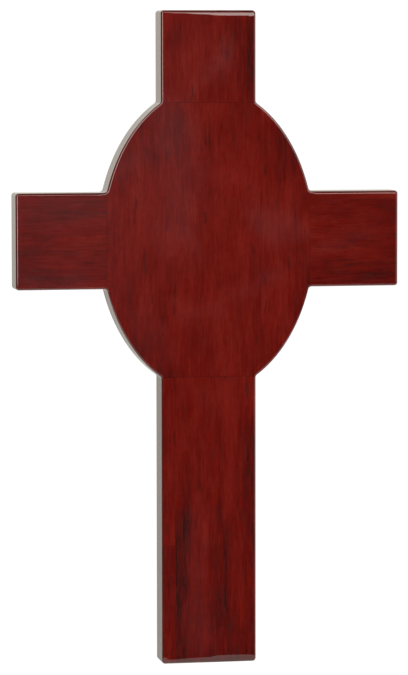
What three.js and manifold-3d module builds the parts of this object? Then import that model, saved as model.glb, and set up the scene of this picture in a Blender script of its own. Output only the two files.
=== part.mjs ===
// Wall cross of glossy rosewood with an oval centre.
//
// The cross is one flat board glued up from narrow staves in five panels: the oval and the top and
// lower arms with upright grain, the left and right arms with level grain. The panels meet in butt
// joints, each bridged by two fluted dowels. A keyhole hanger is let in flush behind the top arm.
//
// Frame, in millimetres: +Z is up, +X is to the right seen from the front, the front faces -Y.
// The origin is the centre of the oval on the flat back face.
import * as THREE from 'three';
import { mergeVertices } from 'three/addons/utils/BufferGeometryUtils.js';
import Module from 'manifold-3d';

// The board.
const THICKNESS = 17;
const TOP_Z = 119.7;
const FOOT_Z = -223.3;
const HALF_SPAN = 101.7;
const STEM_HALF = 25.15;
const ARM_HALF = 24.4;
const OVAL_HALF_WIDTH = 56.7;
const OVAL_HALF_HEIGHT = 80.1;
const EDGE_ROUND = 1.3;
const CORNER_ROUND = 1.6;
const INNER_FILLET = 2;
const EDGE_STEPS = 3;
const CORNER_STEPS = 4;
const OVAL_STEPS = 12;

// The glued joints. Each panel lists its stave joints across the grain, in order.
const GLUE_LINE = 0.1;
const STAVE_PITCH = 25.4;
const joints = (first, count) => Array.from({ length: count }, (_, index) => first + index * STAVE_PITCH);
const OVAL_JOINTS = joints(-48.3, 4);
const TOP_JOINTS = joints(-5, 2);
const LOWER_JOINTS = joints(-18, 2);
const LEFT_JOINTS = [-4.6, 20.0];
const RIGHT_JOINTS = [-4.6, 20.8];
const END_JOINT_Z = -160.7;

// The dowels.
const DOWEL = { radius: 2.95, fluteDepth: 0.25, flutes: 12, length: 30, chamfer: 0.6, offset: 12 };
const DOWEL_HOLE = { radius: 3.1, endRoom: 1, steps: 24 };

// The keyhole hanger. Heights along Z are those of the hole centres.
const HANGER = { centreZ: 96, halfWidth: 8, halfLength: 19, corner: 4, thickness: 1.6, sunk: 0.1 };
const KEYHOLE = { entryZ: 91, entryRadius: 4.75, slotTopZ: 101, slotRadius: 2.5 };
const REBATE_ROOM = 0.2;
const POCKET = { radius: 5.6, depth: 10 };
const SCREW = { headRadius: 3.1, shankRadius: 1.25, threadRadius: 1.6, headDepth: 1.7, length: 13 };
const SCREW_ROOM = 0.3;
const SCREW_SPACING = 30;
const THREADS = { count: 6, pitch: 1.5 };
const DRIVE = { length: 3.2, width: 0.7, depth: 1 };
const ROUND_STEPS = 24;

const QUARTER = Math.PI / 2;
const MARGIN = 5;

const wasm = await Module();
wasm.setup();

// ---------------------------------------------------------------- solids

/** A closed three.js geometry as a Manifold solid. */
function solidOf(geometry) {
  geometry.deleteAttribute('normal');
  geometry.deleteAttribute('uv');
  const merged = mergeVertices(geometry, 1e-4);
  const corners = merged.index.array;
  const triangles = [];
  for (let i = 0; i < corners.length; i += 3) {
    const [a, b, c] = corners.slice(i, i + 3);
    if (a !== b && b !== c && c !== a) triangles.push(a, b, c);
  }
  return new wasm.Manifold(new wasm.Mesh({
    numProp: 3,
    vertProperties: Float32Array.from(merged.attributes.position.array),
    triVerts: Uint32Array.from(triangles),
  }));
}

/** A Manifold solid as a three.js geometry. */
function geometryOf(solid) {
  const mesh = solid.getMesh();
  const geometry = new THREE.BufferGeometry();
  geometry.setAttribute('position', new THREE.BufferAttribute(mesh.vertProperties, 3));
  geometry.setIndex(new THREE.BufferAttribute(mesh.triVerts, 1));
  geometry.computeVertexNormals();
  return geometry;
}

/** A box between low and high along each axis, as [x, y, z] corners. */
function boxSolid(low, high) {
  const box = new THREE.BoxGeometry(high[0] - low[0], high[1] - low[1], high[2] - low[2]);
  box.translate((low[0] + high[0]) / 2, (low[1] + high[1]) / 2, (low[2] + high[2]) / 2);
  return solidOf(box);
}

/** A shape drawn in X and Z, given depth along Y from `front` to `back`. */
function slab(shape, front, back) {
  const geometry = new THREE.ExtrudeGeometry(shape, {
    depth: back - front,
    bevelEnabled: false,
    curveSegments: ROUND_STEPS / 2,
  });
  geometry.rotateX(QUARTER);
  geometry.translate(0, back, 0);
  return solidOf(geometry);
}

// ---------------------------------------------------------------- the board's outline

/** Points along an arc of an ellipse from one angle to another, both ends included. */
function arcPoints(centre, radii, from, to, steps) {
  return Array.from({ length: steps + 1 }, (_, step) => {
    const angle = from + (to - from) * (step / steps);
    return new THREE.Vector2(centre.x + radii.x * Math.cos(angle), centre.y + radii.y * Math.sin(angle));
  });
}

const ovalRadii = new THREE.Vector2(OVAL_HALF_WIDTH, OVAL_HALF_HEIGHT);

/** Where the oval's edge is at an angle, and its outward direction there. */
function ovalEdge(angle) {
  const point = new THREE.Vector2(ovalRadii.x * Math.cos(angle), ovalRadii.y * Math.sin(angle));
  const outward = new THREE.Vector2(point.x / ovalRadii.x ** 2, point.y / ovalRadii.y ** 2).normalize();
  return { point, outward };
}

/** The oval angle and centre of the fillet that is `height` away from the oval's axis. */
function filletAt(axis, height) {
  let low = 0;
  let high = QUARTER;
  for (let halving = 0; halving < 40; halving += 1) {
    const angle = (low + high) / 2;
    const { point, outward } = ovalEdge(angle);
    const reach = point[axis] + INNER_FILLET * outward[axis];
    const beyond = axis === 'y' ? reach > height : reach < height;
    if (beyond) high = angle;
    else low = angle;
  }
  const { point, outward } = ovalEdge(low);
  const centre = point.clone().addScaledVector(outward, INNER_FILLET);
  return { angle: low, centre, towardsOval: Math.atan2(-outward.y, -outward.x) + 2 * Math.PI };
}

/** A quarter of the outline, from the side arm's outer corner to the stem's end corner. */
function quarterOutline(stemEnd) {
  const corner = new THREE.Vector2(CORNER_ROUND, CORNER_ROUND);
  const fillet = new THREE.Vector2(INNER_FILLET, INNER_FILLET);
  const armFillet = filletAt('y', ARM_HALF + INNER_FILLET);
  const stemFillet = filletAt('x', STEM_HALF + INNER_FILLET);
  const armCorner = new THREE.Vector2(HALF_SPAN - CORNER_ROUND, ARM_HALF - CORNER_ROUND);
  const stemCorner = new THREE.Vector2(STEM_HALF - CORNER_ROUND, stemEnd - CORNER_ROUND);
  const alongOval = arcPoints(new THREE.Vector2(), ovalRadii, armFillet.angle, stemFillet.angle, OVAL_STEPS);
  return [
    ...arcPoints(armCorner, corner, 0, QUARTER, CORNER_STEPS),
    ...arcPoints(armFillet.centre, fillet, 3 * QUARTER, armFillet.towardsOval, CORNER_STEPS),
    ...alongOval.slice(1, -1),
    ...arcPoints(stemFillet.centre, fillet, stemFillet.towardsOval, 2 * QUARTER, CORNER_STEPS),
    ...arcPoints(stemCorner, corner, 0, QUARTER, CORNER_STEPS),
  ];
}

/** The whole outline, in X and Z: the quarter repeated in the four mirrored places. */
function boardOutline() {
  const mirrored = (points, x, z) => points.map((point) => new THREE.Vector2(x * point.x, z * point.y));
  const upper = quarterOutline(TOP_Z);
  const lower = quarterOutline(-FOOT_Z);
  return new THREE.Shape([
    ...upper,
    ...mirrored(upper, -1, 1).reverse(),
    ...mirrored(lower, -1, -1),
    ...mirrored(lower, 1, -1).reverse(),
  ]);
}

/** The whole board before it is divided, with rounded edges front and back. */
function boardSolid() {
  const geometry = new THREE.ExtrudeGeometry(boardOutline(), {
    depth: THICKNESS - 2 * EDGE_ROUND,
    bevelEnabled: true,
    bevelThickness: EDGE_ROUND,
    bevelSize: EDGE_ROUND,
    bevelOffset: -EDGE_ROUND,
    bevelSegments: EDGE_STEPS,
  });
  geometry.rotateX(QUARTER);
  geometry.translate(0, -EDGE_ROUND, 0);
  return solidOf(geometry);
}

// ---------------------------------------------------------------- staves

const jointX = OVAL_HALF_WIDTH * Math.sqrt(1 - (ARM_HALF / OVAL_HALF_HEIGHT) ** 2);
const jointZ = OVAL_HALF_HEIGHT * Math.sqrt(1 - (STEM_HALF / OVAL_HALF_WIDTH) ** 2);
const sideReach = HALF_SPAN + MARGIN;
const armZ = [-ARM_HALF - MARGIN, ARM_HALF + MARGIN];
const stemX = [-STEM_HALF - MARGIN, STEM_HALF + MARGIN];

const PANELS = [
  { name: 'oval', across: 'x', joints: OVAL_JOINTS, x: [-jointX, jointX], z: [-jointZ, jointZ] },
  { name: 'top_arm', across: 'x', joints: TOP_JOINTS, x: stemX, z: [jointZ, TOP_Z + MARGIN] },
  { name: 'lower_arm', across: 'x', joints: LOWER_JOINTS, x: stemX, z: [FOOT_Z - MARGIN, -jointZ] },
  { name: 'left_arm', across: 'z', joints: LEFT_JOINTS, x: [-sideReach, -jointX], z: armZ },
  { name: 'right_arm', across: 'z', joints: RIGHT_JOINTS, x: [jointX, sideReach], z: armZ },
];

/** The box a piece of board fills, less half a glue line on each side. */
function staveBox(x, z) {
  const half = GLUE_LINE / 2;
  return boxSolid([x[0] + half, -THICKNESS - MARGIN, z[0] + half], [x[1] - half, MARGIN, z[1] - half]);
}

/** Each stave of a panel as a name and its spans in X and Z. */
function stavesOf(panel) {
  const edges = [panel[panel.across][0], ...panel.joints, panel[panel.across][1]];
  return edges.slice(1).map((edge, index) => ({
    name: `${panel.name}_stave_${index + 1}`,
    x: panel.x,
    z: panel.z,
    [panel.across]: [edges[index], edge],
  }));
}

/** A stave that is pieced end to end, as its two lengths. */
function pieced(stave) {
  return [
    { ...stave, name: `${stave.name}_upper`, z: [END_JOINT_Z, stave.z[1]] },
    { ...stave, name: `${stave.name}_foot`, z: [stave.z[0], END_JOINT_Z] },
  ];
}

const staves = PANELS.flatMap(stavesOf)
  .flatMap((stave) => (stave.name === 'lower_arm_stave_1' ? pieced(stave) : [stave]));

// ---------------------------------------------------------------- dowels

const middleY = -THICKNESS / 2;
const DOWEL_PLACES = [
  { name: 'top', along: 'z', joint: jointZ },
  { name: 'lower', along: 'z', joint: -jointZ },
  { name: 'left', along: 'x', joint: -jointX },
  { name: 'right', along: 'x', joint: jointX },
].flatMap((place) => [-1, 1].map((side, index) => ({
  name: `${place.name}_dowel_${index + 1}`,
  along: place.along,
  x: place.along === 'x' ? place.joint : side * DOWEL.offset,
  z: place.along === 'z' ? place.joint : side * DOWEL.offset,
})));

/** A pin's geometry, centred along Z, turned and moved to its place in the board. */
function placePin(geometry, place) {
  if (place.along === 'x') geometry.rotateY(QUARTER);
  geometry.translate(place.x, middleY, place.z);
  return geometry;
}

/** A straight pin with V flutes along it and chamfered ends. */
function dowelGeometry(place) {
  const points = Array.from({ length: 2 * DOWEL.flutes }, (_, index) => {
    const radius = DOWEL.radius - (index % 2) * DOWEL.fluteDepth;
    const angle = (index * Math.PI) / DOWEL.flutes;
    return new THREE.Vector2(radius * Math.cos(angle), radius * Math.sin(angle));
  });
  const straight = DOWEL.length - 2 * DOWEL.chamfer;
  const geometry = new THREE.ExtrudeGeometry(new THREE.Shape(points), {
    depth: straight,
    bevelEnabled: true,
    bevelThickness: DOWEL.chamfer,
    bevelSize: DOWEL.chamfer,
    bevelOffset: -DOWEL.chamfer,
    bevelSegments: 1,
  });
  geometry.translate(0, 0, -straight / 2);
  return placePin(geometry, place);
}

/** The blind holes of a dowel in the two pieces it joins, as one solid to cut away. */
function dowelHole(place) {
  const length = DOWEL.length + 2 * DOWEL_HOLE.endRoom;
  const geometry = new THREE.CylinderGeometry(DOWEL_HOLE.radius, DOWEL_HOLE.radius, length, DOWEL_HOLE.steps);
  geometry.rotateX(QUARTER);
  return solidOf(placePin(geometry, place));
}

// ---------------------------------------------------------------- keyhole hanger

/** A rectangle with round corners, in X and Z, about the hanger's centre. */
function roundedRectangle(halfWidth, halfLength, corner) {
  const x = halfWidth - corner;
  const z = halfLength - corner;
  const shape = new THREE.Shape();
  shape.absarc(x, HANGER.centreZ + z, corner, 0, QUARTER);
  shape.absarc(-x, HANGER.centreZ + z, corner, QUARTER, 2 * QUARTER);
  shape.absarc(-x, HANGER.centreZ - z, corner, 2 * QUARTER, 3 * QUARTER);
  shape.absarc(x, HANGER.centreZ - z, corner, 3 * QUARTER, 4 * QUARTER);
  return shape;
}

/** The round entry with the narrow slot above it, in which the wall screw's neck hangs. */
function keyholePath() {
  const opening = Math.asin(KEYHOLE.slotRadius / KEYHOLE.entryRadius);
  const path = new THREE.Path();
  path.absarc(0, KEYHOLE.slotTopZ, KEYHOLE.slotRadius, 0, 2 * QUARTER);
  path.absarc(0, KEYHOLE.entryZ, KEYHOLE.entryRadius, QUARTER + opening, 5 * QUARTER - opening);
  return path;
}

/** The hollow behind the keyhole, in which the wall screw's head rides up. */
function pocketShape() {
  const shape = new THREE.Shape();
  shape.absarc(0, KEYHOLE.slotTopZ, POCKET.radius, 0, 2 * QUARTER);
  shape.absarc(0, KEYHOLE.entryZ, POCKET.radius, 2 * QUARTER, 4 * QUARTER);
  return shape;
}

/** A solid turned about the Y axis from a profile of [radius, y] pairs, moved up to `z`. */
function turned(profile, z) {
  const points = profile.map(([radius, y]) => new THREE.Vector2(radius, y));
  const geometry = new THREE.LatheGeometry(points, ROUND_STEPS);
  geometry.translate(0, 0, z);
  return solidOf(geometry);
}

const screwHeights = [-1, 1].map((side) => HANGER.centreZ + (side * SCREW_SPACING) / 2);
const faceY = -HANGER.sunk;

/** The countersunk hole that a screw needs through the plate and into the wood. */
function screwHole(z) {
  const shank = SCREW.threadRadius + SCREW_ROOM;
  const head = SCREW.headRadius + SCREW_ROOM;
  return turned([
    [0, faceY - SCREW.length - SCREW_ROOM],
    [shank, faceY - SCREW.length - SCREW_ROOM],
    [shank, faceY - SCREW.headDepth],
    [head, faceY],
    [head, faceY + MARGIN],
    [0, faceY + MARGIN],
  ], z);
}

/** The plate, with its keyhole and countersunk screw holes. */
function hangerPlate() {
  const shape = roundedRectangle(HANGER.halfWidth, HANGER.halfLength, HANGER.corner);
  shape.holes.push(keyholePath());
  const plate = slab(shape, faceY - HANGER.thickness, faceY);
  return screwHeights.reduce((cut, z) => cut.subtract(screwHole(z)), plate);
}

/** A countersunk wood screw with ring threads and a cross recess. */
function hangerScrew(z) {
  const threadStart = faceY - SCREW.headDepth - THREADS.pitch;
  const threads = Array.from({ length: THREADS.count }, (_, index) => {
    const top = threadStart - index * THREADS.pitch;
    return [[SCREW.threadRadius, top - THREADS.pitch / 2], [SCREW.shankRadius, top - THREADS.pitch]];
  }).flat();
  const profile = [
    [0, faceY],
    [SCREW.headRadius, faceY],
    [SCREW.shankRadius, faceY - SCREW.headDepth],
    [SCREW.shankRadius, threadStart],
    ...threads,
    [0, faceY - SCREW.length],
  ].reverse();
  const half = { long: DRIVE.length / 2, short: DRIVE.width / 2 };
  const crossSlots = [[half.long, half.short], [half.short, half.long]].map(([x, up]) => (
    boxSolid([-x, faceY - DRIVE.depth, z - up], [x, faceY + DRIVE.depth, z + up])
  ));
  return crossSlots.reduce((cut, slot) => cut.subtract(slot), turned(profile, z));
}

/** All that is routed and drilled out of the back of the top arm. */
function hangerCuts() {
  const rebate = roundedRectangle(
    HANGER.halfWidth + REBATE_ROOM,
    HANGER.halfLength + REBATE_ROOM,
    HANGER.corner + REBATE_ROOM,
  );
  const rebateFloor = faceY - HANGER.thickness - REBATE_ROOM;
  return [
    slab(rebate, rebateFloor, MARGIN),
    slab(pocketShape(), -POCKET.depth, MARGIN),
    ...screwHeights.map(screwHole),
  ];
}

// ---------------------------------------------------------------- the assembly

const LACQUER = { roughness: 0.12, metalness: 0 };
const FINISHES = {
  oval: { color: 0x6a1c16, ...LACQUER },
  top_arm: { color: 0x681d17, ...LACQUER },
  lower_arm: { color: 0x611711, ...LACQUER },
  left_arm: { color: 0x61211f, ...LACQUER },
  right_arm: { color: 0x621611, ...LACQUER },
  beech: { color: 0xc8a06e, roughness: 0.7, metalness: 0 },
  brass: { color: 0xb09a5e, roughness: 0.35, metalness: 1 },
  steel: { color: 0xa8a49a, roughness: 0.4, metalness: 1 },
};

function named(name, geometry, finish) {
  const mesh = new THREE.Mesh(geometry, new THREE.MeshStandardMaterial(finish));
  mesh.name = name;
  return mesh;
}

const board = boardSolid();
const dowelHoles = DOWEL_PLACES.map(dowelHole);
const topCuts = hangerCuts();
const cross = new THREE.Group();

for (const stave of staves) {
  const cuts = stave.name.startsWith('top_arm') ? [...dowelHoles, ...topCuts] : dowelHoles;
  const blank = board.intersect(staveBox(stave.x, stave.z));
  const solid = cuts.reduce((cut, hole) => cut.subtract(hole), blank);
  const panelName = stave.name.split('_stave_')[0];
  cross.add(named(stave.name, geometryOf(solid), FINISHES[panelName]));
}
for (const place of DOWEL_PLACES) {
  cross.add(named(place.name, dowelGeometry(place), FINISHES.beech));
}
cross.add(named('hanger_plate', geometryOf(hangerPlate()), FINISHES.brass));
screwHeights.forEach((z, index) => {
  cross.add(named(`hanger_screw_${index + 1}`, geometryOf(hangerScrew(z)), FINISHES.steel));
});

export default cross;
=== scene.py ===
"""Looks of a glossy rosewood wall cross with an oval centre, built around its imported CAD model.

Metres, +Z up, the front face towards -Y. The board is modelled once, as a fine closed skin with
rounded, slightly rolled edges and a faint polishing wave, and is then sawn into its staves.
"""

import math

import bmesh
import bpy
import numpy as np
from mathutils import Matrix, Vector
from mathutils.geometry import delaunay_2d_cdt


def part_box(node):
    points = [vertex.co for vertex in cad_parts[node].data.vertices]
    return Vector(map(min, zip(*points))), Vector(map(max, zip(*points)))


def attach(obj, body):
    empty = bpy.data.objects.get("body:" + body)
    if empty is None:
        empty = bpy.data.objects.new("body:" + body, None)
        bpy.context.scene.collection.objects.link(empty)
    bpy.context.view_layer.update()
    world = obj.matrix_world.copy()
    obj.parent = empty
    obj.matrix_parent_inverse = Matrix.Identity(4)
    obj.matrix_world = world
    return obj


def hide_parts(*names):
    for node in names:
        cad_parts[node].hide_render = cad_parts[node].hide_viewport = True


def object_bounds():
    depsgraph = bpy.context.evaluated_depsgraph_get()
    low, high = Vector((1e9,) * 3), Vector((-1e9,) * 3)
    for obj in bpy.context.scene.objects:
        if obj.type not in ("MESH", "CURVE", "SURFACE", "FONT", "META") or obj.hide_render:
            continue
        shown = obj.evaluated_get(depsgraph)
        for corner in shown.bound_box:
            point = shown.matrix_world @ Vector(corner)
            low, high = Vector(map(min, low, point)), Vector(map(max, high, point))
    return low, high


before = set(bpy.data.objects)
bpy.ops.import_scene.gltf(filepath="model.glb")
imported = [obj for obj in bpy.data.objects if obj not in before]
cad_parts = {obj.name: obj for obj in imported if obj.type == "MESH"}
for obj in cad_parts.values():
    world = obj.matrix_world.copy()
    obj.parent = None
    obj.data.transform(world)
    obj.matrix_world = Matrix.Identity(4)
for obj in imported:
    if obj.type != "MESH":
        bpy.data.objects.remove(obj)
cad_low, cad_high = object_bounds()

MM = 0.001
STAVES = sorted(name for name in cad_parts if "stave" in name)
DOWELS = sorted(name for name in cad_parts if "dowel" in name)
SCREWS = sorted(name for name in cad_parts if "screw" in name)

# The board, from the frame.
THICKNESS = cad_high.y - cad_low.y
TOP_Z = cad_high.z
FOOT_Z = cad_low.z
HALF_SPAN = cad_high.x
STEM_HALF = -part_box("lower_arm_stave_1_foot")[0].x
ARM_HALF = -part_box("left_arm_stave_1")[0].z

# The board's curves.
OVAL_RADII = np.array([56.7 * MM, 80.1 * MM])
EDGE_ROUND = 0.9 * MM
CORNER_ROUND = 1.6 * MM
INNER_FILLET = 2.0 * MM
EDGE_STEPS = 7
CORNER_STEPS = 9
OVAL_STEPS = 44
FILLET_SEARCH_STEPS = 20000

# The lacquered face: how it rolls off along its edges, and its polishing wave.
ROLL_SLOPE = 0.26
ROLL_EASE = 0.3
ROLL_WIDTH = 0.3 * MM
TOP_ROLL = (0.15 * MM, 2.25 * MM)
FOOT_ROLL = (1.1 * MM, 2.8 * MM)
ARM_ROLL = (0.4 * MM, 0.7 * MM)
ROLL_UNEVEN = 0.08
ROLL_UNEVEN_LENGTH = 31 * MM
WAVE_COUNT = 9
WAVE_SEED = 11
WAVE_LENGTHS = (26 * MM, 85 * MM)
WAVE_SLOPE = 0.0004

# The face's points: rows that follow its edge, then a grid.
FACE_PITCH = 2.4 * MM
FACE_EDGE_ROWS = (0.4 * MM, 0.9 * MM, 1.5 * MM, 2.2 * MM)
ROW_MARGIN = 0.98
GRID_MARGIN = FACE_PITCH / 3
SAME_POINT = 1e-9
CHUNK = 2000

# The glued joints: how near neighbours lie, how much they share, and how exactly they are sawn.
NEIGHBOUR_REACH = 0.3 * MM
LEAST_SHARED = 1.0 * MM
SAW_TOLERANCE = 1e-8

# The holes in the wood, with their room round what they hold.
HANGER_Z = (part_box("hanger_plate")[0].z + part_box("hanger_plate")[1].z) / 2
PLATE_CORNER = 4.0 * MM
KEYHOLE_HALF_LENGTH = 5.0 * MM
POCKET_RADIUS = 5.6 * MM
POCKET_DEPTH = 10.0 * MM
BED_ROOM = 0.2 * MM
SCREW_HOLE = 1.9 * MM
DOWEL_ROOM = 0.15 * MM
DOWEL_END_ROOM = 1.0 * MM
CUTTER_OVERSHOOT = 1.0 * MM
HOLE_STEPS = 48

# Shading: edges sharper than SHARP_ANGLE stay sharp, and a face belongs to the board's skin if the
# cosine between its normal and the skin's is over SKIN_MATCH. A sawn face has no skin normal.
NORMAL_LAYER = "smooth_normal"
SHARP_ANGLE = math.radians(30)
SKIN_MATCH = 0.8
LEAST_LENGTH = 1e-6

# Camera: from which side and how far it looks, at which point, and its lens in millimetres.
VIEW_YAW = math.radians(10.87)
VIEW_PITCH = math.radians(4.53)
VIEW_ROLL = math.radians(-0.08)
VIEW_DISTANCE = 1.834
VIEW_AIM_X = -0.0026
VIEW_AIM_Z = -0.0511
VIEW_LENS = 186.7
SENSOR = 36.0


# ---------------------------------------------------------------- the board's outline


def unit(rows):
    """Each row scaled to length 1."""
    return rows / np.linalg.norm(rows, axis=-1, keepdims=True)


def arc(centre, radii, start, end, steps, side=1):
    """Rows of x, z and outward normal along an arc of an ellipse; side -1 is a hollow curve."""
    angle = np.linspace(start, end, steps + 1)
    circle = np.stack([np.cos(angle), np.sin(angle)], axis=1)
    return np.hstack([centre + circle * radii, side * unit(circle / radii)])


def oval_fillet(axis, height):
    """The fillet against the oval whose centre is at that height: oval angle, centre, direction."""
    angle = np.linspace(0, math.pi / 2, FILLET_SEARCH_STEPS + 1)
    circle = np.stack([np.cos(angle), np.sin(angle)], axis=1)
    outward = unit(circle / OVAL_RADII)
    centres = circle * OVAL_RADII + INNER_FILLET * outward
    best = int(np.argmin(abs(centres[:, axis] - height)))
    towards_oval = math.atan2(-outward[best][1], -outward[best][0]) + 2 * math.pi
    return angle[best], centres[best], towards_oval


def quarter_outline(stem_end):
    """A quarter of the outline, from the side arm's corner to the stem's corner."""
    quarter = math.pi / 2
    arm_angle, arm_centre, arm_turn = oval_fillet(1, ARM_HALF + INNER_FILLET)
    stem_angle, stem_centre, stem_turn = oval_fillet(0, STEM_HALF + INNER_FILLET)
    arm_corner = np.array([HALF_SPAN, ARM_HALF]) - CORNER_ROUND
    stem_corner = np.array([STEM_HALF, stem_end]) - CORNER_ROUND
    return np.vstack([
        arc(arm_corner, CORNER_ROUND, 0, quarter, CORNER_STEPS),
        arc(arm_centre, INNER_FILLET, 3 * quarter, arm_turn, CORNER_STEPS, side=-1),
        arc(np.zeros(2), OVAL_RADII, arm_angle, stem_angle, OVAL_STEPS)[1:-1],
        arc(stem_centre, INNER_FILLET, stem_turn, 2 * quarter, CORNER_STEPS, side=-1),
        arc(stem_corner, CORNER_ROUND, 0, quarter, CORNER_STEPS),
    ])


def board_outline():
    """The whole outline anticlockwise, as rows of x, z, normal x, normal z."""
    upper = quarter_outline(TOP_Z)
    lower = quarter_outline(-FOOT_Z)
    return np.vstack([
        upper,
        (upper * (-1, 1, -1, 1))[::-1],
        lower * (-1, -1, -1, -1),
        (lower * (1, -1, 1, -1))[::-1],
    ])


def divided(outline, pitch):
    """The outline with its long straight runs divided into steps of about that pitch."""
    rows = []
    for start, end in zip(outline, np.roll(outline, -1, axis=0)):
        steps = max(1, round(math.dist(start[:2], end[:2]) / pitch))
        rows += [start + (end - start) * step / steps for step in range(steps)]
    return np.array(rows)


OUTLINE = board_outline()


def nearest_edge(points):
    """Distance to the outline, and the outline's outward normal there, for each x, z point."""
    if len(points) > CHUNK:
        chunks = [nearest_edge(points[i:i + CHUNK]) for i in range(0, len(points), CHUNK)]
        distances, normals = zip(*chunks)
        return np.concatenate(distances), np.vstack(normals)
    end = np.roll(OUTLINE, -1, axis=0)
    along = end[:, :2] - OUTLINE[:, :2]
    away = points[:, None, :] - OUTLINE[None, :, :2]
    share = np.clip((away * along).sum(axis=2) / (along ** 2).sum(axis=1), 0, 1)
    distance = np.linalg.norm(away - share[..., None] * along, axis=2)
    best = distance.argmin(axis=1)
    rows = np.arange(len(points))
    part = share[rows, best][:, None]
    return distance[rows, best], unit(OUTLINE[best, 2:] * (1 - part) + end[best, 2:] * part)


# ---------------------------------------------------------------- the board's skin


def polishing_wave(points):
    """The lacquer's faint wave at each x, z point, and its slope along x and z."""
    rng = np.random.default_rng(WAVE_SEED)
    height = np.zeros(len(points))
    slope = np.zeros_like(points)
    for _ in range(WAVE_COUNT):
        length = rng.uniform(*WAVE_LENGTHS)
        turn = rng.uniform(0, math.pi)
        start = rng.uniform(0, 2 * math.pi)
        steps = 2 * math.pi / length * np.array([math.cos(turn), math.sin(turn)])
        amplitude = WAVE_SLOPE * length / (2 * math.pi)
        phase = points @ steps + start
        height += amplitude * np.sin(phase)
        slope += (amplitude * np.cos(phase))[:, None] * steps
    return height, slope


def rolled(inset, width):
    """How far a face that rolls off within that width lies back, and its slope, at an inset."""
    beside = np.clip(1 - (inset - EDGE_ROUND) / width, 0, 1)
    eased = np.minimum(beside, ROLL_EASE)
    drop = ROLL_SLOPE * width * (eased ** 2 / (2 * ROLL_EASE) + beside - eased)
    return drop, ROLL_SLOPE * eased / ROLL_EASE


def end_rolls(points):
    """The wider roll-offs along the top, the foot and the arms' tops: inset, width, direction."""
    x, z = points[:, 0], points[:, 1]
    uneven = 1 + ROLL_UNEVEN * np.sin(2 * math.pi * x / ROLL_UNEVEN_LENGTH)
    across_stem = np.sin(math.pi / 2 * np.clip((x + STEM_HALF) / (2 * STEM_HALF), 0, 1))
    across_arms = np.clip((x + HALF_SPAN) / (2 * HALF_SPAN), 0, 1)
    arm_tops = np.where(np.abs(x) > OVAL_RADII[0], ARM_HALF - z, THICKNESS)
    return (
        (TOP_Z - z, uneven * (TOP_ROLL[0] + (TOP_ROLL[1] - TOP_ROLL[0]) * across_stem), 1),
        (z - FOOT_Z, uneven * (FOOT_ROLL[0] + (FOOT_ROLL[1] - FOOT_ROLL[0]) * across_stem), -1),
        (arm_tops, uneven * (ARM_ROLL[0] + (ARM_ROLL[1] - ARM_ROLL[0]) * across_arms), 1),
    )


def face_relief(points):
    """How far the lacquered face lies behind a true plane at each x, z point, and its slope."""
    inset, normals = nearest_edge(points)
    drop, fall = rolled(inset, ROLL_WIDTH)
    wave, slope = polishing_wave(points)
    slope += fall[:, None] * normals
    for end_inset, width, direction in end_rolls(points):
        end_drop, end_fall = rolled(end_inset, width)
        drop += end_drop
        slope[:, 1] += direction * end_fall
    return drop + wave, slope


def edge_profile():
    """The board's edge from the back face to the front: rows of inset, y, and turn from the side."""
    turns = np.linspace(0, math.pi / 2, EDGE_STEPS + 1)
    front = [
        (EDGE_ROUND * (1 - math.cos(turn)), -THICKNESS + EDGE_ROUND * (1 - math.sin(turn)), turn)
        for turn in turns
    ]
    back = [(inset, -THICKNESS - y, -turn) for inset, y, turn in front]
    return back[::-1] + front


def face_points(outline):
    """Points inside the face: rows that follow its edge, then an even staggered grid."""
    rows = [
        (outline[:, :2] - (EDGE_ROUND + inward) * outline[:, 2:], EDGE_ROUND + ROW_MARGIN * inward)
        for inward in FACE_EDGE_ROWS
    ]
    pitch_z = FACE_PITCH * math.sqrt(3) / 2
    grid = np.array([
        (x + (index % 2) * FACE_PITCH / 2, z)
        for index, z in enumerate(np.arange(FOOT_Z, TOP_Z, pitch_z))
        for x in np.arange(-HALF_SPAN, HALF_SPAN, FACE_PITCH)
    ])
    rows.append((grid[inside_outline(grid)], EDGE_ROUND + FACE_EDGE_ROWS[-1] + GRID_MARGIN))
    kept = [points[nearest_edge(points)[0] > least] for points, least in rows]
    return np.vstack(kept)


def inside_outline(points):
    """True for each x, z point that lies within the board."""
    x, z = np.abs(points[:, 0]), points[:, 1]
    oval = ((points / OVAL_RADII) ** 2).sum(axis=1) < 1
    stem = (x < STEM_HALF) & (z > FOOT_Z) & (z < TOP_Z)
    arms = (x < HALF_SPAN) & (np.abs(z) < ARM_HALF)
    return oval | stem | arms


def vertex(bm, place, normal):
    """A vertex that keeps its true normal."""
    made = bm.verts.new(place)
    made[bm.verts.layers.float_vector[NORMAL_LAYER]] = Vector(normal).normalized()
    return made


def edge_ring(bm, outline, relief, slope, inset, y, turn):
    """The vertices of one row of the edge's profile, all round the outline."""
    lean = max(math.sin(turn), 0)
    ring = []
    for (x, z, out_x, out_z), depth, (slope_x, slope_z) in zip(outline, relief, slope):
        place = (x - inset * out_x, y + lean * depth, z - inset * out_z)
        normal_x = math.cos(turn) * out_x + lean * slope_x
        normal_z = math.cos(turn) * out_z + lean * slope_z
        ring.append(vertex(bm, place, (normal_x, -math.sin(turn), normal_z)))
    return ring


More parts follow.
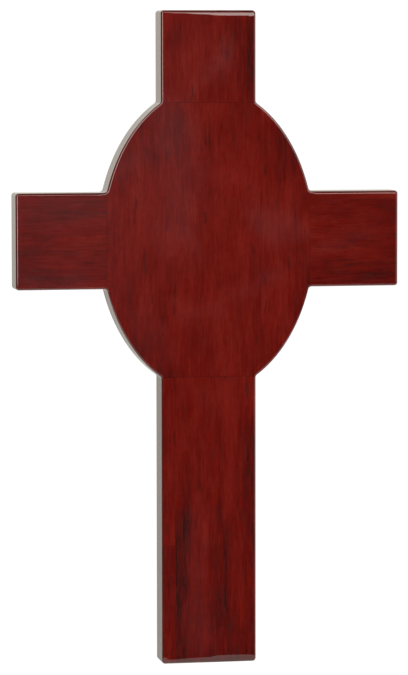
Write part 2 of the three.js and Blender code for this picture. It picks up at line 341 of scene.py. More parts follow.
def board_skin():
    """The whole board as a bmesh: its edge all round, and its front and back faces."""
    outline = divided(OUTLINE, FACE_PITCH)
    count = len(outline)
    loop = [(i, (i + 1) % count) for i in range(count)]
    flat = np.vstack([outline[:, :2] - EDGE_ROUND * outline[:, 2:], face_points(outline)])
    points = [Vector(point) for point in flat]
    kept_points, _, triangles, *_ = delaunay_2d_cdt(points, loop, [], 1, SAME_POINT)
    assert len(kept_points) == len(points), "points of the face were merged"
    relief, slope = face_relief(flat)

    bm = bmesh.new()
    bm.verts.layers.float_vector.new(NORMAL_LAYER)
    rings = [edge_ring(bm, outline, relief[:count], slope[:count], *row) for row in edge_profile()]
    for near, far in zip(rings, rings[1:]):
        for i, j in loop:
            bm.faces.new((near[i], near[j], far[j], far[i]))
    inner = list(zip(flat[count:], relief[count:], slope[count:]))
    front = rings[-1] + [
        vertex(bm, (x, -THICKNESS + depth, z), (slope_x, -1, slope_z))
        for (x, z), depth, (slope_x, slope_z) in inner
    ]
    back = rings[0] + [vertex(bm, (x, 0, z), (0, 1, 0)) for (x, z), _, _ in inner]
    for triangle in triangles:
        bm.faces.new([front[i] for i in triangle])
        bm.faces.new([back[i] for i in reversed(triangle)])
    bmesh.ops.recalc_face_normals(bm, faces=bm.faces)
    return bm


# ---------------------------------------------------------------- staves


def joint_planes(node):
    """Where a stave meets its neighbours: (axis, place, side) for each glued side."""
    low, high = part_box(node)
    planes = []
    for axis, across in ((0, 2), (2, 0)):
        for side in (-1, 1):
            mine = (high if side > 0 else low)[axis]
            for other in STAVES:
                other_low, other_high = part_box(other)
                theirs = (other_low if side > 0 else other_high)[axis]
                shared = min(high[across], other_high[across]) - max(low[across], other_low[across])
                near = abs(theirs - mine) < NEIGHBOUR_REACH
                if other != node and near and shared > LEAST_SHARED:
                    planes.append((axis, (mine + theirs) / 2, side))
                    break
    return planes


def sawn(board, node):
    """A stave's own length of the board, closed where it was sawn."""
    bm = board.copy()
    for axis, place, side in joint_planes(node):
        point, normal = Vector(), Vector()
        point[axis] = place
        normal[axis] = side
        geometry = bm.verts[:] + bm.edges[:] + bm.faces[:]
        made = bmesh.ops.bisect_plane(
            bm, geom=geometry, dist=SAW_TOLERANCE, plane_co=point, plane_no=normal, clear_outer=True
        )
        edges = [part for part in made["geom_cut"] if isinstance(part, bmesh.types.BMEdge)]
        rim = [edge for edge in edges if edge.is_boundary]
        bmesh.ops.triangle_fill(bm, edges=rim, use_beauty=True, normal=normal)
    bmesh.ops.recalc_face_normals(bm, faces=bm.faces)
    return bm


def long_axis(node):
    """The axis that a dowel lies along: 0 for x, 2 for z."""
    low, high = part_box(node)
    return 0 if high.x - low.x > high.z - low.z else 2


def cutter(name, bm):
    """A solid that is cut out of staves, as an object of its own."""
    bmesh.ops.recalc_face_normals(bm, faces=bm.faces)
    mesh = bpy.data.meshes.new(name)
    bm.to_mesh(mesh)
    bm.free()
    made = bpy.data.objects.new(name, mesh)
    bpy.context.scene.collection.objects.link(made)
    return made


def prism(name, rows, front):
    """A cutter with an outline in x and z, from y `front` out through the back face."""
    bm = bmesh.new()
    near = [bm.verts.new((x, front, z)) for x, z in rows]
    far = [bm.verts.new((x, CUTTER_OVERSHOOT, z)) for x, z in rows]
    bm.faces.new(near)
    bm.faces.new(far[::-1])
    for i in range(len(rows)):
        j = (i + 1) % len(rows)
        bm.faces.new((near[i], far[i], far[j], near[j]))
    return cutter(name, bm)


def drill(name, centre, axis, start, end, radius):
    """A round cutter along an axis."""
    bm = bmesh.new()
    middle = Vector(centre)
    middle[axis] = (start + end) / 2
    turn = Vector([axis == 0, axis == 1, axis == 2]).to_track_quat("Z", "Y").to_matrix().to_4x4()
    bmesh.ops.create_cone(
        bm, cap_ends=True, segments=HOLE_STEPS, radius1=radius, radius2=radius,
        depth=end - start, matrix=Matrix.Translation(middle) @ turn,
    )
    return cutter(name, bm)


def stadium(half_width, half_length, radius):
    """Rows of x, z round a rectangle with round corners, about the hanger's centre."""
    rows = []
    for index, (x, z) in enumerate(((1, 1), (-1, 1), (-1, -1), (1, -1))):
        centre = (x * (half_width - radius), HANGER_Z + z * (half_length - radius))
        start, end = index * math.pi / 2, (index + 1) * math.pi / 2
        rows.append(arc(centre, radius, start, end, HOLE_STEPS // 4))
    return np.vstack(rows)[:, :2]


def keyhole_pocket():
    """The routed pocket behind the keyhole, as a prism that is open at the back."""
    slot_end = (0, HANGER_Z + KEYHOLE_HALF_LENGTH)
    entry = (0, HANGER_Z - KEYHOLE_HALF_LENGTH)
    upper = arc(slot_end, POCKET_RADIUS, 0, math.pi, HOLE_STEPS // 2)
    lower = arc(entry, POCKET_RADIUS, math.pi, 2 * math.pi, HOLE_STEPS // 2)
    return prism("pocket_cutter", np.vstack([upper, lower])[:, :2], -POCKET_DEPTH)


def wood_cutters():
    """What is routed and drilled out of the staves, for the hanger, its screws and the dowels."""
    plate_low, plate_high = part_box("hanger_plate")
    half_width = plate_high.x + BED_ROOM
    half_length = (plate_high.z - plate_low.z) / 2 + BED_ROOM
    bed = stadium(half_width, half_length, PLATE_CORNER + BED_ROOM)
    cutters = [prism("bed_cutter", bed, plate_low.y - BED_ROOM), keyhole_pocket()]
    for name in SCREWS:
        low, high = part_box(name)
        start = low.y - BED_ROOM
        cutters.append(drill(name + "_hole", (low + high) / 2, 1, start, CUTTER_OVERSHOOT, SCREW_HOLE))
    for name in DOWELS:
        low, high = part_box(name)
        axis = long_axis(name)
        radius = (high.y - low.y) / 2 + DOWEL_ROOM
        start, end = low[axis] - DOWEL_END_ROOM, high[axis] + DOWEL_END_ROOM
        cutters.append(drill(name + "_hole", (low + high) / 2, axis, start, end, radius))
    return cutters


def overlaps(piece, other):
    """True if the boxes of two unmoved objects overlap."""
    first, second = np.array(piece.bound_box), np.array(other.bound_box)
    starts_before_end = first.min(axis=0) < second.max(axis=0)
    ends_after_start = first.max(axis=0) > second.min(axis=0)
    return (starts_before_end & ends_after_start).all()


def cut_out(piece, cutters):
    """The piece with every cutter that reaches it cut away."""
    for tool in cutters:
        if overlaps(piece, tool):
            cut = piece.modifiers.new("cut", "BOOLEAN")
            cut.object = tool
            cut.solver = "EXACT"
    shown = piece.evaluated_get(bpy.context.evaluated_depsgraph_get())
    solid = bpy.data.meshes.new_from_object(shown)
    piece.modifiers.clear()
    piece.data = solid


def stave_piece(board, node, cutters):
    """The visible piece that stands for a stave."""
    bm = sawn(board, node)
    mesh = bpy.data.meshes.new(node + "_lacquered")
    bm.to_mesh(mesh)
    bm.free()
    piece = bpy.data.objects.new(node + "_lacquered", mesh)
    bpy.context.scene.collection.objects.link(piece)
    cut_out(piece, cutters)
    set_true_normals(piece.data)
    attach(piece, "root")
    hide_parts(node)
    return piece


def numbers_of(items, name):
    """A whole number of every item in a mesh's collection."""
    values = np.zeros(len(items), np.int32)
    items.foreach_get(name, values)
    return values


def vectors_of(items):
    """The vector of every item in a mesh's collection, as rows."""
    values = np.zeros(len(items) * 3, np.float32)
    items.foreach_get("vector", values)
    return values.reshape(-1, 3)


def set_true_normals(mesh):
    """Shades the skin by its true normals and the sawn and drilled faces by their own."""
    mesh.shade_smooth()
    mesh.set_sharp_from_angle(angle=SHARP_ANGLE)
    corners = vectors_of(mesh.corner_normals)
    wanted = vectors_of(mesh.attributes[NORMAL_LAYER].data)[numbers_of(mesh.loops, "vertex_index")]
    corner_counts = numbers_of(mesh.polygons, "loop_total")
    faces = np.repeat(vectors_of(mesh.polygon_normals), corner_counts, axis=0)
    lengths = np.linalg.norm(wanted, axis=1).clip(LEAST_LENGTH)
    on_skin = (wanted * faces).sum(axis=1) > SKIN_MATCH * lengths
    normals = np.where(on_skin[:, None], wanted, corners)
    mesh.normals_split_custom_set(normals.tolist())


# ---------------------------------------------------------------- material nodes


# The scale that turns metres into millimetres.
PER_MM = (1 / MM, 1 / MM, 1 / MM)


def set_inputs(tree, node, inputs):
    """Links a node's inputs to sockets, or sets them to values."""
    for name, value in inputs.items():
        if isinstance(value, bpy.types.NodeSocket):
            tree.links.new(value, node.inputs[name])
        else:
            node.inputs[name].default_value = value


def add(tree, kind, inputs=None, **settings):
    """A node with its inputs linked or set."""
    node = tree.nodes.new(kind)
    for name, value in settings.items():
        setattr(node, name, value)
    set_inputs(tree, node, inputs or {})
    return node


def maths(tree, operation, *values):
    """The output of a Math node."""
    return add(tree, "ShaderNodeMath", dict(enumerate(values)), operation=operation).outputs[0]


def vector_maths(tree, operation, *vectors):
    """The vector output of a Vector Math node."""
    inputs = dict(enumerate(vectors))
    return add(tree, "ShaderNodeVectorMath", inputs, operation=operation).outputs["Vector"]


def remap(tree, value, low, high, to_low=0.0, to_high=1.0):
    """A value eased from one range to another. The ranges that are named below go in as they are."""
    inputs = {"Value": value, "From Min": low, "From Max": high, "To Min": to_low, "To Max": to_high}
    return add(tree, "ShaderNodeMapRange", inputs, interpolation_type="SMOOTHSTEP").outputs["Result"]


def mix_colour(tree, factor, first, second):
    """Two colours mixed. Inputs 6 and 7 and output 2 are a Mix node's colours."""
    node = add(tree, "ShaderNodeMix", {0: factor, 6: first, 7: second}, data_type="RGBA")
    return node.outputs[2]


def noise(tree, place, scale, detail=2.0, roughness=0.5):
    """A noise value at a place."""
    inputs = {"Vector": place, "Scale": scale, "Detail": detail, "Roughness": roughness}
    return add(tree, "ShaderNodeTexNoise", inputs).outputs["Fac"]


def stretched(tree, place, scale):
    """A place scaled along each axis."""
    return add(tree, "ShaderNodeMapping", {"Vector": place, "Scale": scale}).outputs["Vector"]


def bump(tree, height, strength, distance):
    """The normal of a surface that stands up with a height."""
    inputs = {"Height": height, "Strength": strength, "Distance": distance}
    return add(tree, "ShaderNodeBump", inputs).outputs["Normal"]


def object_place(tree):
    """The place on the object, in metres."""
    return add(tree, "ShaderNodeTexCoord").outputs["Object"]


def new_material(name):
    """A new node material, its tree and its shader."""
    material = bpy.data.materials.new(name)
    material.use_nodes = True
    tree = material.node_tree
    return material, tree, tree.nodes["Principled BSDF"]


# ---------------------------------------------------------------- rosewood


# Each stave is cut from another place in the wood, in millimetres, and is a little lighter or
# darker. The arms' level wood is darker than the rest.
WOOD_SEED = 100
ORIGIN_SPREAD = 400
SHADE_SPREAD = 0.012
LEVEL_TONE = -0.025

# The wood's colours, from its darkest tone to its lightest.
DARK_WOOD = (0.013, 0.0014, 0.0014, 1)
DEEP_WOOD = (0.042, 0.0007, 0.0004, 1)
RED_WOOD = (0.0655, 0.0014, 0.0006, 1)
WARM_WOOD = (0.088, 0.0042, 0.0025, 1)
WOOD_STOPS = ((0.27, DARK_WOOD), (0.41, DEEP_WOOD), (0.50, RED_WOOD), (0.62, WARM_WOOD))

# The grain sways: the squeeze and scale of its sway, and how far it goes in millimetres.
SWAY_SQUEEZE = (1, 1, 0.3)
SWAY_NOISE = {"Scale": 0.04, "Detail": 2.0}
SWAY_REACH = (6, 6, 0)

# The wood's noise fields: squeeze along the grain, scale per millimetre, detail and roughness.
GRAIN_FIELDS = {
    "cloud": (0.5, 0.035, 2.0, 0.5),
    "blotch": (0.3, 0.15, 3.0, 0.6),
    "curl": (1.0, 0.32, 3.0, 0.7),
    "ribbon": (0.06, 0.55, 3.0, 0.6),
    "fibre": (0.06, 1.5, 3.0, 0.65),
    "pore": (0.12, 2.2, 1.0, 0.4),
    "pore_patch": (0.3, 0.11, 2.0, 0.5),
    "fleck": (0.14, 0.42, 2.0, 0.5),
}
TONE_WEIGHTS = {"cloud": 0.34, "blotch": 0.25, "curl": 0.14, "ribbon": 0.18, "fibre": 0.09}

# What shows over the tone: each field's range, and how strongly it shows.
PORE_RANGE = (0.58, 0.68)
PORE_PATCH_RANGE = (0.4, 0.6)
PORE_DARKNESS = 0.28
FLECKS = (0.62, 0.74, 0.0, 0.6)
FIBRES = (0.38, 0.62, 0.0, 0.042)
PALE_FIBRE = (0.10, 0.045, 0.042, 1)

# Glue in the joints, by the distance from the joint.
GLUE_COLOUR = (0.014, 0.0020, 0.0020, 1)
GLUE_LINE = 0.22 * MM
BUTT_JOINT_SHOWS = 0.7
STAVE_JOINT_SHOWS = 0.3

# Painted shade: the wood is darkened round the edges, by the depth behind the face.
EDGE_SHADE_COLOUR = (0.022, 0.0016, 0.0016, 1)
EDGE_SHADE_RANGE = (0.03 * MM, 0.35 * MM, 0.0, 0.5)

# The wood's surface and the lacquer over it.
WOOD_ROUGHNESS = (0.3, 0.7, 0.38, 0.52)
GRAIN_BUMP = (0.15, 0.2 * MM)
PEEL_SCALE = 0.35
PEEL_BUMP = (0.003, 1.0 * MM)
LACQUERED = {
    "Specular IOR Level": 0.12,
    "Specular Tint": (1.0, 0.25, 0.18, 1),
    "Coat Weight": 1.0,
    "Coat Roughness": 0.03,
    "Coat IOR": 1.5,
}

# The softness of a mark's rim, and how the ribbon of the grain breaks marks up.
MARK_SOFTNESS = 0.9
MARK_BREAKS = (0.35, 0.6, 1.2, 0.8)

# Marks in the wood: panel or stave, centre x and z, lean in degrees, half width and length, and
# depth. A mark with a negative depth is lighter than the wood round it.
MARKS = (
    ("oval", (0.000, 0.000), 0, (0.060, 0.110), -0.030),
    ("oval", (-0.0160, -0.004), 0, (0.0110, 0.014), -0.110),
    ("oval", (-0.0145, -0.043), 0, (0.0120, 0.018), -0.080),
    ("oval", (-0.0260, 0.052), 0, (0.0220, 0.026), 0.110),
    ("oval", (0.0020, 0.068), 0, (0.0220, 0.011), -0.090),
    ("oval", (0.0140, 0.030), 0, (0.0110, 0.015), -0.080),
    ("oval", (0.0260, -0.016), 0, (0.0200, 0.014), 0.080),
    ("oval", (-0.0370, -0.060), 0, (0.0160, 0.013), 0.080),
    ("oval_stave_1", (-0.0520, 0.010), 0, (0.0060, 0.060), 0.050),
    ("oval_stave_2", (-0.0440, 0.030), 0, (0.0060, 0.050), 0.040),
    ("oval", (0.0390, 0.050), 0, (0.0190, 0.030), 0.140),
    ("oval", (-0.0250, -0.070), 0, (0.0100, 0.012), 0.150),
    ("oval_stave_5", (0.0520, 0.006), 0, (0.0070, 0.014), -0.110),
    ("oval_stave_5", (0.0500, -0.030), 0, (0.0100, 0.026), 0.050),
    ("top_arm", (0.000, 0.100), 0, (0.060, 0.060), 0.008),
    ("top_arm", (-0.0140, 0.108), 0, (0.0140, 0.015), 0.090),
    ("top_arm", (0.0170, 0.108), 0, (0.0110, 0.016), 0.080),
    ("top_arm", (0.0200, 0.088), 0, (0.0080, 0.026), 0.090),
    ("top_arm", (0.0020, 0.087), 0, (0.0120, 0.014), -0.030),
    ("left_arm", (-0.075, 0.000), 0, (0.040, 0.040), 0.020),
    ("left_arm", (-0.0960, 0.000), 0, (0.0200, 0.030), 0.030),
    ("left_arm", (-0.0880, -0.020), 0, (0.0300, 0.008), 0.100),
    ("left_arm", (-0.0720, 0.016), 0, (0.0260, 0.009), 0.100),
    ("right_arm", (0.075, 0.000), 0, (0.040, 0.040), -0.030),
    ("right_arm", (0.0960, 0.000), 0, (0.0160, 0.030), 0.010),
    ("right_arm", (0.0800, -0.020), 0, (0.0300, 0.008), 0.100),
    # These two lower_arm marks make the lower arm darker towards the foot.
    ("lower_arm", (0.000, -0.270), 0, (0.200, 0.150), 0.110),
    ("lower_arm", (0.000, -0.228), 0, (0.050, 0.018), 0.100),
    ("lower_arm", (0.0070, -0.196), 0, (0.0090, 0.022), 0.130),
    ("lower_arm", (0.0070, -0.082), 0, (0.0080, 0.016), -0.090),
    ("lower_arm_stave_1", (-0.022, -0.190), 0, (0.020, 0.120), -0.030),
    ("lower_arm_stave_1_foot", (-0.022, -0.230), 0, (0.012, 0.030), 0.060),
    ("lower_arm_stave_2", (-0.0150, -0.166), 6, (0.0085, 0.044), 0.150),
    ("lower_arm_stave_2", (-0.0140, -0.200), 0, (0.0070, 0.036), 0.100),
    ("lower_arm_stave_2", (-0.0075, -0.137), 0, (0.0060, 0.018), -0.070),
    ("lower_arm_stave_2", (0.0045, -0.156), 2, (0.0050, 0.030), 0.080),
    ("lower_arm_stave_2", (-0.0060, -0.205), 0, (0.0060, 0.060), -0.030),
    ("lower_arm_stave_3", (0.0085, -0.162), 0, (0.0030, 0.036), 0.070),
    ("lower_arm_stave_3", (0.0220, -0.114), 0, (0.0120, 0.034), 0.170),
    ("lower_arm_stave_3", (0.0160, -0.161), 0, (0.0060, 0.018), -0.080),
)


def soft_patch(tree, place, centre, turn, size, soft):
    """1 inside a turned ellipsoid, 0 outside it, with a soft rim."""
    inputs = {"Vector": place, "Location": centre, "Rotation": turn, "Scale": size}
    inside = add(tree, "ShaderNodeMapping", inputs, vector_type="TEXTURE").outputs["Vector"]
    length = add(tree, "ShaderNodeVectorMath", {0: inside}, operation="LENGTH").outputs["Value"]
    return remap(tree, length, 1.0, 1.0 - soft)


def glue_lines(tree, where, node, level):
    """How much glue shows at a place: most on the butt joints, little between staves."""
    parts = add(tree, "ShaderNodeSeparateXYZ", {0: where}).outputs
    total = 0.0
    for axis, place, _ in joint_planes(node):
        shows = STAVE_JOINT_SHOWS if (axis == 2) == level else BUTT_JOINT_SHOWS
        gap = maths(tree, "ABSOLUTE", maths(tree, "SUBTRACT", parts[axis], place))
        total = maths(tree, "MAXIMUM", total, remap(tree, gap, GLUE_LINE, GLUE_LINE / 4, 0.0, shows))
    return total


def grain_places(tree, where, origin, level):
    """Millimetres across the grain in x and y and along it in z: straight, and with its sway."""
    turn = (0, math.pi / 2, 0) if level else (0, 0, 0)
    inputs = {"Vector": where, "Location": origin, "Rotation": turn, "Scale": PER_MM}
    straight = add(tree, "ShaderNodeMapping", inputs).outputs["Vector"]
    inputs = {"Vector": stretched(tree, straight, SWAY_SQUEEZE), **SWAY_NOISE}
    sway = add(tree, "ShaderNodeTexNoise", inputs).outputs["Color"]
    swayed = vector_maths(tree, "ADD", straight, vector_maths(tree, "MULTIPLY", sway, SWAY_REACH))
    return straight, swayed


def wood_tone(tree, where, node, fields, shade):
    """The wood's tone at a place, from dark to light, with the stave's own marks."""
    tone = shade
    for name, weight in TONE_WEIGHTS.items():
        tone = maths(tree, "MULTIPLY_ADD", fields[name], weight, tone)
    for panel_name, (x, z), lean, (half_width, half_length), depth in MARKS:
        if node.startswith(panel_name):
            size = (half_width, 1, half_length)
            mark = soft_patch(tree, where, (x, 0, z), (0, math.radians(lean), 0), size, MARK_SOFTNESS)
            broken = maths(tree, "MULTIPLY", mark, remap(tree, fields["ribbon"], *MARK_BREAKS))
            tone = maths(tree, "SUBTRACT", tone, maths(tree, "MULTIPLY", broken, depth))
    return tone


def wood_colour(tree, tone):
    """The wood's colour at a tone."""
    ramp = add(tree, "ShaderNodeValToRGB", {"Fac": tone})
    stops = ramp.color_ramp.elements
    stops.remove(stops[1])
    stops[0].position, stops[0].color = WOOD_STOPS[0]
    for position, colour in WOOD_STOPS[1:]:
        stops.new(position).color = colour
    return ramp.outputs["Color"]


def rosewood(node, seed, level):
    """Dark red rosewood under clear gloss lacquer; the grain runs upright, or level."""
    material, tree, shader = new_material(node + "_rosewood")
    rng = np.random.default_rng(seed)
    origin = [float(place) for place in rng.uniform(-ORIGIN_SPREAD, ORIGIN_SPREAD, 3)]
    shade = float(rng.uniform(-SHADE_SPREAD, SHADE_SPREAD)) + LEVEL_TONE * level
    where = object_place(tree)
    straight, swayed = grain_places(tree, where, origin, level)
    fields = {
        name: noise(tree, stretched(tree, swayed, (1, 1, squeeze)), scale, detail, roughness)
        for name, (squeeze, scale, detail, roughness) in GRAIN_FIELDS.items()
    }

    colour = wood_colour(tree, wood_tone(tree, where, node, fields, shade))
    pores = remap(tree, fields["pore"], *PORE_RANGE)
    pores = maths(tree, "MULTIPLY", pores, remap(tree, fields["pore_patch"], *PORE_PATCH_RANGE))
    colour = mix_colour(tree, maths(tree, "MULTIPLY", pores, PORE_DARKNESS), colour, DARK_WOOD)
    colour = mix_colour(tree, remap(tree, fields["fleck"], *FLECKS), colour, DARK_WOOD)
    colour = mix_colour(tree, remap(tree, fields["fibre"], *FIBRES), colour, PALE_FIBRE)
    colour = mix_colour(tree, glue_lines(tree, where, node, level), colour, GLUE_COLOUR)
    # Painted shade: wood behind the front face, on the rounded edges, the sides and the back, is mixed
    # towards a dark colour.
    y = add(tree, "ShaderNodeSeparateXYZ", {0: where}).outputs["Y"]
    behind_face = maths(tree, "ADD", y, THICKNESS)
    colour = mix_colour(tree, remap(tree, behind_face, *EDGE_SHADE_RANGE), colour, EDGE_SHADE_COLOUR)

    set_inputs(tree, shader, {
        "Base Color": colour,
        "Roughness": remap(tree, fields["fibre"], *WOOD_ROUGHNESS),
        "Normal": bump(tree, fields["fibre"], *GRAIN_BUMP),
        "Coat Normal": bump(tree, noise(tree, straight, PEEL_SCALE), *PEEL_BUMP),
        **LACQUERED,
    })
    return material


# ---------------------------------------------------------------- beech, brass and steel


# The dowels: the squeeze of their figure along them, their colours and their surface.
BEECH_SQUEEZE = 0.12
BEECH_DEEP = (0.50, 0.29, 0.13, 1)
BEECH_PALE = (0.66, 0.43, 0.22, 1)
BEECH_FLECK = (0.27, 0.12, 0.05, 1)
BEECH_TONE = {"scale": 0.9, "detail": 3.0}
BEECH_FLECKS = {"scale": 3.0, "detail": 1.0}
BEECH_TONE_RANGE = (0.3, 0.7)
BEECH_FLECK_RANGE = (0.6, 0.7, 0.0, 0.6)
BEECH_ROUGHNESS = (0.3, 0.7, 0.55, 0.75)
BEECH_BUMP = (0.3, 0.2 * MM)
DOWEL_EDGE = 0.1 * MM

# Each plated metal: its bright and dull colours, the scale of its brushing along each axis and the
# brushing's strength.
BRASS = ((0.62, 0.44, 0.17, 1), (0.36, 0.23, 0.09, 1), (9000, 9000, 300), 0.4)
STEEL = ((0.62, 0.61, 0.58, 1), (0.38, 0.37, 0.35, 1), (4000, 4000, 4000), 0.2)
BRUSHING = {"scale": 1.0, "detail": 4.0, "roughness": 0.7}
BRUSHING_DEPTH = 0.1 * MM
BRUSHED_ROUGHNESS = (0.3, 0.7, 0.24, 0.4)
SPOTS = {"scale": 0.45, "detail": 3.0, "roughness": 0.65}
SPOT_RANGE = (0.52, 0.7)
SPOT_ROUGHNESS = 0.2
PLATE_EDGE = 0.25 * MM
SCREW_EDGE = 0.1 * MM

# The softened edges of the CAD's own nodes.
BEVEL_STEPS = 2
BEVEL_ANGLE = math.radians(35)


def beech(node):
    """Bare turned beech: pale, with short brown flecks along the dowel."""
    material, tree, shader = new_material(node + "_beech")
    scale = list(PER_MM)
    scale[long_axis(node)] *= BEECH_SQUEEZE
    grain = stretched(tree, object_place(tree), scale)
    tone = noise(tree, grain, **BEECH_TONE)
    colour = mix_colour(tree, remap(tree, tone, *BEECH_TONE_RANGE), BEECH_DEEP, BEECH_PALE)
    flecks = remap(tree, noise(tree, grain, **BEECH_FLECKS), *BEECH_FLECK_RANGE)
    set_inputs(tree, shader, {
        "Base Color": mix_colour(tree, flecks, colour, BEECH_FLECK),
        "Roughness": remap(tree, tone, *BEECH_ROUGHNESS),
        "Normal": bump(tree, tone, *BEECH_BUMP),
    })
    return material


def brushed_metal(node, bright, dull, brushing_scale, brushing_strength):
    """Plated metal with fine brushing and duller spots."""
    material, tree, shader = new_material(node + "_plated")
    where = object_place(tree)
    brushed = noise(tree, stretched(tree, where, brushing_scale), **BRUSHING)
    worn = remap(tree, noise(tree, stretched(tree, where, PER_MM), **SPOTS), *SPOT_RANGE)
    rough = maths(tree, "MULTIPLY_ADD", worn, SPOT_ROUGHNESS, remap(tree, brushed, *BRUSHED_ROUGHNESS))
    set_inputs(tree, shader, {
        "Base Color": mix_colour(tree, worn, bright, dull),
        "Roughness": rough,
        "Normal": bump(tree, brushed, brushing_strength, BRUSHING_DEPTH),
        "Metallic": 1.0,
    })
    return material


def finish_node(node, material, edge):
    """Gives a carried-over CAD node its material and softened edges."""
    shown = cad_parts[node]
    for place in shown.material_slots:
        place.link = "OBJECT"
        place.material = material
    bevel = shown.modifiers.new("soft_edges", "BEVEL")
    bevel.width = edge
    bevel.segments = BEVEL_STEPS
    bevel.limit_method = "ANGLE"
    bevel.angle_limit = BEVEL_ANGLE
    bevel.harden_normals = True


# ---------------------------------------------------------------- studio


# Angles are in degrees. Azimuth is 0 straight in front of the cross and grows towards its left side.
# The white surroundings, by how far aside they lie and by their elevation.
BACKDROP_ASIDE = (120, 150)
BACKDROP_HEIGHT = (-6, 1, 0.3, 0.5)
SIDE_GLOW = (45, 90, 0.0, 0.21)
FLOOR_LIGHT = (-13, -22, 0.0, 0.35)
DARK_FRONT = 0.012
WHITE = (1, 1, 1, 1)
SEEN_WHITE = 1.05
LIGHT_TINT = (1.0, 0.87, 0.82, 1)
ROOM_TINT = (1.0, 0.97, 1.03, 1)
FLOOR_TINT = (0.90, 0.97, 1.15, 1)
BACKDROP_TINT = (1.12, 1.09, 0.97, 1)

# Each panel of light: its azimuths, its elevations, the softness of its rim, its strength.
PANELS_OF_LIGHT = (
    ((11, 34), (-4, 32), 1.5, 10.5),
    ((-54, 12), (14, 32), 1.5, 7.4),
    ((-85, -38), (-8, 28), 6.0, 2.2),
    ((95, 150), (35, 70), 8.0, 4.0),
    ((-150, -95), (35, 70), 8.0, 4.0),
)

# The dim room behind the camera, mirrored in the lacquer: the azimuth and elevation of each pale
# shape, its turn, its half sizes, the softness of its rim and its strength.
ROOM_SHAPES = (
    ((-9.8, -1.2), 0, (2.0, 2.8), 0.9, 0.07),
    ((-8.5, -3.1), 0, (2.3, 2.6), 0.9, 0.15),
    ((-8.4, -2.25), 5, (1.2, 0.55), 0.7, 0.17),
    ((-8.4, -3.75), 5, (1.3, 0.35), 0.7, 0.14),
    ((-9.95, -4.5), 63, (0.8, 0.28), 0.8, 0.11),
    ((-9.65, -1.7), -67, (0.6, 0.24), 0.8, 0.18),
    ((-10.0, -1.5), 10, (0.5, 1.0), 0.8, 0.10),
    ((-10.4, -1.1), -20, (0.34, 0.8), 0.6, 0.18),
    ((-10.3, -1.35), 34, (0.26, 0.08), 0.6, 0.18),
    ((-10.45, -2.4), 0, (0.52, 1.15), 0.6, 0.20),
    ((-10.65, -3.0), 0, (0.3, 0.4), 0.7, 0.08),
    ((-12.0, -2.68), 10, (0.62, 0.32), 0.5, 0.20),
    ((-10.4, -4.0), 32, (0.34, 0.14), 0.8, 0.12),
    ((-10.8, -4.25), 0, (0.5, 0.16), 0.8, 0.18),
    ((-11.75, -3.66), -34, (0.95, 0.13), 0.8, 0.20),
    ((-13.1, -2.92), -25, (0.95, 0.12), 0.7, 0.20),
    ((-11.2, 0.08), 15, (0.20, 0.36), 0.5, 0.28),
    ((-11.05, -0.15), -15, (0.34, 0.13), 0.7, 0.14),
    ((-10.7, -0.5), -49, (0.4, 0.14), 0.8, 0.16),
    ((-10.6, 0.1), 0, (0.6, 1.1), 0.8, 0.05),
    ((-10.75, -8.2), 0, (0.26, 1.3), 0.5, 0.10),
    ((-10.75, -9.3), 0, (0.32, 0.5), 0.7, 0.13),
)

# The rims of those shapes are uneven: the noise that moves them, and how far it does.
RIM_NOISE = {"Scale": 3.0, "Detail": 3.0}
NOISE_MIDDLE = (0.5, 0.5, 0.5)
RIM_REACH = (0.6, 0.6, 0)

# The floor, which glows a little towards the camera so that it looks as pale as the backdrop.
FLOOR_DROP = 0.75
FLOOR_RADIUS = 2.4
FLOOR_STEPS = 96
FLOOR_COLOUR = (0.86, 0.87, 0.88, 1)
FLOOR_ROUGHNESS = 0.8
FLOOR_GLOW = 0.3
FLOOR_GLOW_COLOUR = (0.92, 1.0, 1.0, 1)


def panel(tree, azimuth, elevation, sides, heights, soft, strength):
    """A soft-edged rectangle of light in the surroundings."""
    left = remap(tree, azimuth, sides[0] - soft, sides[0] + soft)
    right = remap(tree, azimuth, sides[1] + soft, sides[1] - soft)
    low = remap(tree, elevation, heights[0] - soft, heights[0] + soft)
    high = remap(tree, elevation, heights[1] + soft, heights[1] - soft)
    across = maths(tree, "MULTIPLY", left, right)
    up = maths(tree, "MULTIPLY", low, high)
    return maths(tree, "MULTIPLY", maths(tree, "MULTIPLY", across, up), strength)


def room_shapes(tree, azimuth, elevation):
    """The pale shapes of the dim room, with uneven rims."""
    angles = add(tree, "ShaderNodeCombineXYZ", {"X": azimuth, "Y": elevation}).outputs["Vector"]
    sway = add(tree, "ShaderNodeTexNoise", {"Vector": angles, **RIM_NOISE}).outputs["Color"]
    sway = vector_maths(tree, "SUBTRACT", sway, NOISE_MIDDLE)
    angles = vector_maths(tree, "ADD", angles, vector_maths(tree, "MULTIPLY", sway, RIM_REACH))
    total = 0.0
    for (across, up), turn, (half_across, half_up), soft, strength in ROOM_SHAPES:
        spread = (half_across, half_up, 1)
        shape = soft_patch(tree, angles, (across, up, 0), (0, 0, math.radians(turn)), spread, soft)
        total = maths(tree, "MULTIPLY_ADD", shape, strength, total)
    return total


def world_angles(tree):
    """The azimuth and elevation of a direction in the surroundings."""
    direction = add(tree, "ShaderNodeTexCoord").outputs["Generated"]
    parts = add(tree, "ShaderNodeSeparateXYZ", {0: direction}).outputs
    towards_left = maths(tree, "MULTIPLY", parts["X"], -1.0)
    towards_front = maths(tree, "MULTIPLY", parts["Y"], -1.0)
    azimuth = maths(tree, "DEGREES", maths(tree, "ARCTAN2", towards_left, towards_front))
    elevation = maths(tree, "DEGREES", maths(tree, "ARCSINE", parts["Z"]))
    return azimuth, elevation


def background(tree, colour, strength):
    """Light of a colour from the surroundings."""
    return add(tree, "ShaderNodeBackground", {"Color": colour, "Strength": strength}).outputs[0]


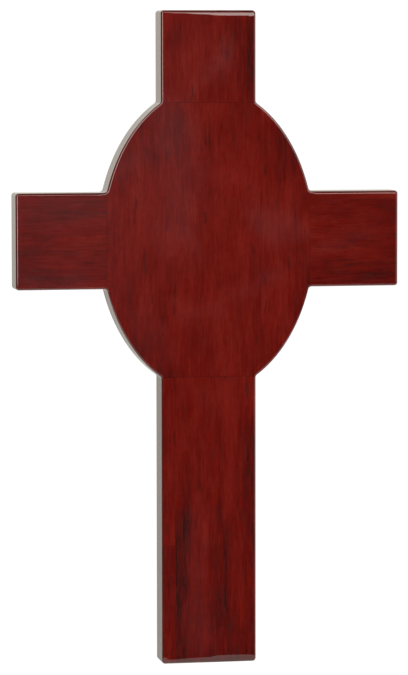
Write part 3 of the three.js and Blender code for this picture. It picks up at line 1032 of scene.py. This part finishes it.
def studio_world():
    """White surroundings, dark in front of the cross, with soft panels of light."""
    world = bpy.data.worlds.new("studio")
    bpy.context.scene.world = world
    world.use_nodes = True
    tree = world.node_tree
    tree.nodes.clear()
    azimuth, elevation = world_angles(tree)
    aside = maths(tree, "ABSOLUTE", azimuth)

    behind = remap(tree, aside, *BACKDROP_ASIDE)
    behind = maths(tree, "MULTIPLY", behind, remap(tree, elevation, *BACKDROP_HEIGHT))
    behind = maths(tree, "ADD", behind, remap(tree, aside, *SIDE_GLOW))
    lights = 0.0
    for sides, heights, soft, strength in PANELS_OF_LIGHT:
        lit = panel(tree, azimuth, elevation, sides, heights, soft, strength)
        lights = maths(tree, "ADD", lights, lit)
    room = maths(tree, "ADD", room_shapes(tree, azimuth, elevation), DARK_FRONT)
    below = remap(tree, elevation, *FLOOR_LIGHT)

    light = background(tree, BACKDROP_TINT, behind)
    for tint, strength in ((LIGHT_TINT, lights), (ROOM_TINT, room), (FLOOR_TINT, below)):
        part = background(tree, tint, strength)
        light = add(tree, "ShaderNodeAddShader", {0: light, 1: part}).outputs[0]
    white = background(tree, WHITE, SEEN_WHITE)
    seen = add(tree, "ShaderNodeLightPath").outputs["Is Camera Ray"]
    mixed = add(tree, "ShaderNodeMixShader", {0: seen, 1: light, 2: white}).outputs[0]
    add(tree, "ShaderNodeOutputWorld", {"Surface": mixed})


def add_camera():
    """The camera, which looks from the cross's left side and a little from above."""
    data = bpy.data.cameras.new("camera")
    data.lens = VIEW_LENS
    data.sensor_width = SENSOR
    camera = bpy.data.objects.new("camera", data)
    bpy.context.scene.collection.objects.link(camera)
    forward = Vector((
        math.sin(VIEW_YAW) * math.cos(VIEW_PITCH),
        math.cos(VIEW_YAW) * math.cos(VIEW_PITCH),
        -math.sin(VIEW_PITCH),
    ))
    turn = forward.to_track_quat("-Z", "Y").to_matrix().to_4x4()
    aim = Vector((VIEW_AIM_X, -THICKNESS, VIEW_AIM_Z))
    place = Matrix.Translation(aim - forward * VIEW_DISTANCE)
    camera.matrix_world = place @ turn @ Matrix.Rotation(VIEW_ROLL, 4, "Z")
    bpy.context.scene.camera = camera


def add_floor():
    """A plain pale floor, well below the cross."""
    bm = bmesh.new()
    bmesh.ops.create_circle(bm, cap_ends=True, segments=FLOOR_STEPS, radius=FLOOR_RADIUS)
    mesh = bpy.data.meshes.new("floor")
    bm.to_mesh(mesh)
    bm.free()
    floor = bpy.data.objects.new("floor", mesh)
    floor.location.z = FOOT_Z - FLOOR_DROP
    bpy.context.scene.collection.objects.link(floor)
    material, tree, shader = new_material("pale_floor")
    seen = add(tree, "ShaderNodeLightPath").outputs["Is Camera Ray"]
    set_inputs(tree, shader, {
        "Base Color": FLOOR_COLOUR,
        "Roughness": FLOOR_ROUGHNESS,
        "Emission Color": FLOOR_GLOW_COLOUR,
        "Emission Strength": maths(tree, "MULTIPLY", seen, FLOOR_GLOW),
    })
    mesh.materials.append(material)


# ---------------------------------------------------------------- the scene


def add_staves():
    """The lacquered staves, each sawn from the board and given its own wood."""
    board = board_skin()
    cutters = wood_cutters()
    for number, node in enumerate(STAVES):
        piece = stave_piece(board, node, cutters)
        level = "left" in node or "right" in node
        piece.data.materials.clear()
        piece.data.materials.append(rosewood(node, WOOD_SEED + number, level))
    board.free()
    for tool in cutters:
        bpy.data.objects.remove(tool)


def finish_hardware():
    """The dowels, the hanger and its screws, which are the CAD's own."""
    for node in DOWELS:
        finish_node(node, beech(node), DOWEL_EDGE)
    finish_node("hanger_plate", brushed_metal("hanger_plate", *BRASS), PLATE_EDGE)
    for node in SCREWS:
        finish_node(node, brushed_metal(node, *STEEL), SCREW_EDGE)


add_camera()
studio_world()
add_floor()
bpy.context.scene.view_settings.view_transform = "Standard"
add_staves()
finish_hardware()
